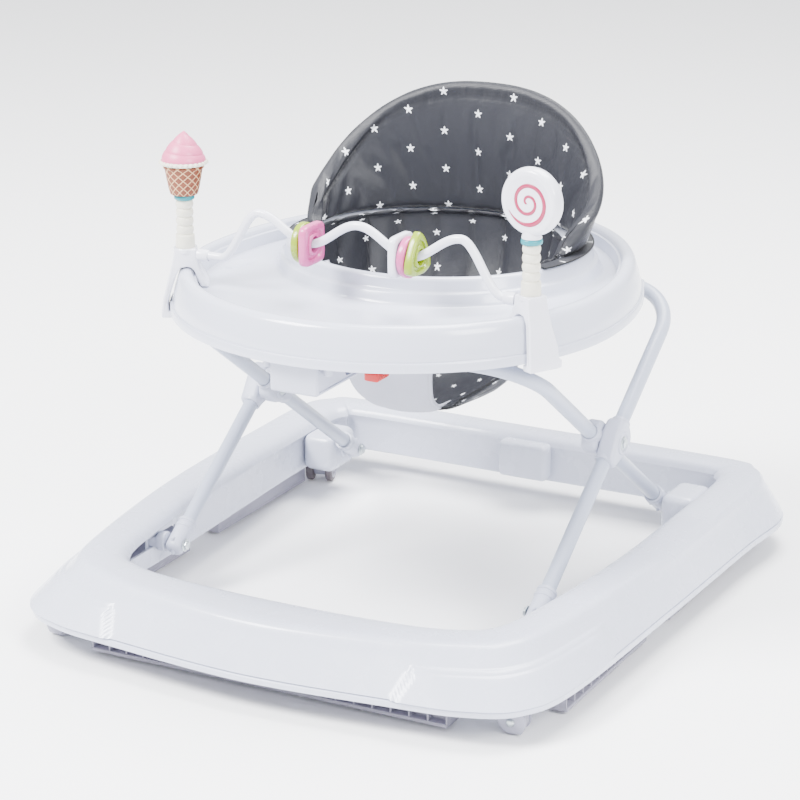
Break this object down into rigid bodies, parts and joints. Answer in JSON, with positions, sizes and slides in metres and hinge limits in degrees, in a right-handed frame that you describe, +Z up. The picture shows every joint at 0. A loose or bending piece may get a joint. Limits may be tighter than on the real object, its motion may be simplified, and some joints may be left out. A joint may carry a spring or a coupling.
{
  "type": "baby walker",
  "caption": "Wheeled baby walker: a ring base on casters, a folding scissor frame, a round toy tray with a wavy bead bar and a hanging padded seat.",
  "frame": {"origin": "centre of the bounding box's footprint, on the floor", "axes": "+Z up, -Y is the walker's front, +X is the viewer's right when facing the front"},
  "size_m": [0.6456, 0.7241, 0.528],
  "materials": {
    "base_white": "glossy moulded",
    "tray_white": "glossy moulded",
    "tube_white": "satin powder coat",
    "fitting_white": "satin moulded",
    "pad_grey": "soft moulded",
    "caster_grey": "satin moulded",
    "tread_grey": "soft moulded tread",
    "bolt_steel": "zinc plated",
    "seat_grey": "satin woven polyester with a star print",
    "lining_white": "woven cotton",
    "toy_white": "glossy moulded",
    "stem_cream": "satin moulded",
    "teal": "satin moulded",
    "pink": "glossy moulded",
    "lime": "glossy moulded",
    "waffle": "moulded waffle grain",
    "red": "glossy moulded"
  },
  "bodies": {
    "base": {"base_shell": "base_white", "front_brake_pad": "pad_grey", "left_corner_block": "base_white", "left_front_brake_pad": "pad_grey", "left_rear_bolt": "bolt_steel", "left_rear_brake_pad": "pad_grey", "right_corner_block": "base_white", "right_front_brake_pad": "pad_grey", "right_rear_bolt": "bolt_steel", "right_rear_brake_pad": "pad_grey"},
    "inner_frame": {"inner_frame_tube": "tube_white", "left_hub_bolt": "bolt_steel", "left_hub_inner": "fitting_white", "left_rear_cup": "fitting_white", "right_hub_bolt": "bolt_steel", "right_hub_inner": "fitting_white", "right_rear_cup": "fitting_white"},
    "outer_frame": {"outer_frame_tube": "tube_white", "left_front_cup": "fitting_white", "left_hub_outer": "fitting_white", "right_front_cup": "fitting_white", "right_hub_outer": "fitting_white"},
    "tray": {"tray_shell": "tray_white", "adjuster_housing": "fitting_white", "toy_bar": "toy_white", "seat_back_pad": "seat_grey", "seat_sling": "seat_grey", "crotch_panel": "lining_white", "left_toy_clamp": "toy_white", "left_toy_collar": "teal", "left_toy_post": "stem_cream", "left_tray_hinge": "fitting_white", "right_toy_clamp": "toy_white", "right_toy_collar": "teal", "right_toy_post": "stem_cream", "right_tray_hinge": "fitting_white"},
    "lever": {"release_lever": "red"},
    "ice_cream": {"ice_cream_cone": "waffle", "ice_cream_scoop": "pink"},
    "lollipop": {"lollipop": "toy_white"},
    "left_foot": {"left_slide_foot": "fitting_white", "left_front_bolt": "bolt_steel"},
    "front_left_caster": {"front_left_caster_fork": "caster_grey", "front_left_caster_axle": "bolt_steel"},
    "front_left_wheel": {"front_left_caster_wheel": "caster_grey"},
    "rear_left_caster": {"rear_left_caster_fork": "caster_grey"},
    "rear_left_wheels": {"rear_left_twin_wheel": "tread_grey"},
    "right_foot": {"right_slide_foot": "fitting_white", "right_front_bolt": "bolt_steel"},
    "front_right_caster": {"front_right_caster_fork": "caster_grey", "front_right_caster_axle": "bolt_steel"},
    "front_right_wheel": {"front_right_caster_wheel": "caster_grey"},
    "rear_right_caster": {"rear_right_caster_fork": "caster_grey"},
    "rear_right_wheels": {"rear_right_twin_wheel": "tread_grey"},
    "lime_ring_bead": {"lime_ring_bead": "lime"},
    "lime_triangle_bead": {"lime_triangle_bead": "lime"},
    "pink_ring_bead": {"pink_ring_bead": "pink"},
    "pink_square_bead": {"pink_square_bead": "pink"},
    "white_square_bead": {"white_square_bead": "toy_white"}
  },
  "joints": [
    {"name": "frame_fold", "type": "hinge", "parent": "base", "child": "inner_frame", "pos_m": [0, 0.237, 0.058], "axis": [1, 0, 0], "range_deg": [-5, 19]},
    {"name": "hub_pivot", "type": "hinge", "parent": "inner_frame", "child": "outer_frame", "pos_m": [0, 0.05269, 0.18705], "axis": [1, 0, 0], "range_deg": [-38, 10]},
    {"name": "tray_level", "type": "hinge", "parent": "outer_frame", "child": "tray", "pos_m": [0, 0.22635, 0.30865], "axis": [1, 0, 0], "range_deg": [-5, 19]},
    {"name": "left_foot_pivot", "type": "hinge", "parent": "outer_frame", "child": "left_foot", "pos_m": [-0.215, -0.13162, 0.058], "axis": [1, 0, 0], "range_deg": [-5, 19]},
    {"name": "front_left_swivel", "type": "hinge", "parent": "base", "child": "front_left_caster", "pos_m": [-0.243, -0.285, 0.031], "axis": [0, 0, 1], "continuous": true},
    {"name": "front_left_roll", "type": "hinge", "parent": "front_left_caster", "child": "front_left_wheel", "pos_m": [-0.26087, -0.28281, 0.014], "axis": [0.1219, 0.9925, 0], "continuous": true},
    {"name": "rear_left_swivel", "type": "hinge", "parent": "base", "child": "rear_left_caster", "pos_m": [-0.262, 0.28, 0.031], "axis": [0, 0, 1], "continuous": true},
    {"name": "rear_left_roll", "type": "hinge", "parent": "rear_left_caster", "child": "rear_left_wheels", "pos_m": [-0.25704, 0.2627, 0.0155], "axis": [-0.9613, -0.2756, 0], "continuous": true},
    {"name": "right_foot_pivot", "type": "hinge", "parent": "outer_frame", "child": "right_foot", "pos_m": [0.215, -0.13162, 0.058], "axis": [1, 0, 0], "range_deg": [-5, 19]},
    {"name": "front_right_swivel", "type": "hinge", "parent": "base", "child": "front_right_caster", "pos_m": [0.243, -0.285, 0.031], "axis": [0, 0, 1], "continuous": true},
    {"name": "front_right_roll", "type": "hinge", "parent": "front_right_caster", "child": "front_right_wheel", "pos_m": [0.26087, -0.28281, 0.014], "axis": [0.1219, -0.9925, 0], "continuous": true},
    {"name": "rear_right_swivel", "type": "hinge", "parent": "base", "child": "rear_right_caster", "pos_m": [0.262, 0.28, 0.031], "axis": [0, 0, 1], "continuous": true},
    {"name": "rear_right_roll", "type": "hinge", "parent": "rear_right_caster", "child": "rear_right_wheels", "pos_m": [0.26696, 0.2627, 0.0155], "axis": [-0.9613, -0.2756, 0], "continuous": true},
    {"name": "lever_slide", "type": "slide", "parent": "tray", "child": "lever", "axis": [0, 1, 0], "range_m": [0, 0.006], "stiffness_N_per_m": 250},
    {"name": "ice_cream_turn", "type": "hinge", "parent": "tray", "child": "ice_cream", "pos_m": [-0.199, -0.124, 0.4415], "axis": [0, 0, 1], "continuous": true},
    {"name": "lollipop_turn", "type": "hinge", "parent": "tray", "child": "lollipop", "pos_m": [0.199, -0.124, 0.4415], "axis": [0, 0, 1], "continuous": true},
    {"name": "lime_ring_spin", "type": "hinge", "parent": "tray", "child": "lime_ring_bead", "pos_m": [-0.05695, -0.124, 0.41211], "axis": [1, 0, 0], "continuous": true},
    {"name": "lime_triangle_spin", "type": "hinge", "parent": "tray", "child": "lime_triangle_bead", "pos_m": [0.07375, -0.124, 0.41317], "axis": [1, 0, 0], "continuous": true},
    {"name": "pink_ring_spin", "type": "hinge", "parent": "tray", "child": "pink_ring_bead", "pos_m": [0.06425, -0.124, 0.4115], "axis": [1, 0, 0], "continuous": true},
    {"name": "pink_square_spin", "type": "hinge", "parent": "tray", "child": "pink_square_bead", "pos_m": [-0.04745, -0.124, 0.41177], "axis": [1, 0, 0], "continuous": true},
    {"name": "white_square_spin", "type": "hinge", "parent": "tray", "child": "white_square_bead", "pos_m": [0.05475, -0.124, 0.41317], "axis": [1, 0, 0], "continuous": true}
  ],
  "couplings": [
    {"joint": "hub_pivot", "follows": "frame_fold", "ratio": -2},
    {"joint": "tray_level", "follows": "frame_fold", "ratio": 1},
    {"joint": "left_foot_pivot", "follows": "frame_fold", "ratio": 1},
    {"joint": "right_foot_pivot", "follows": "frame_fold", "ratio": 1}
  ]
}
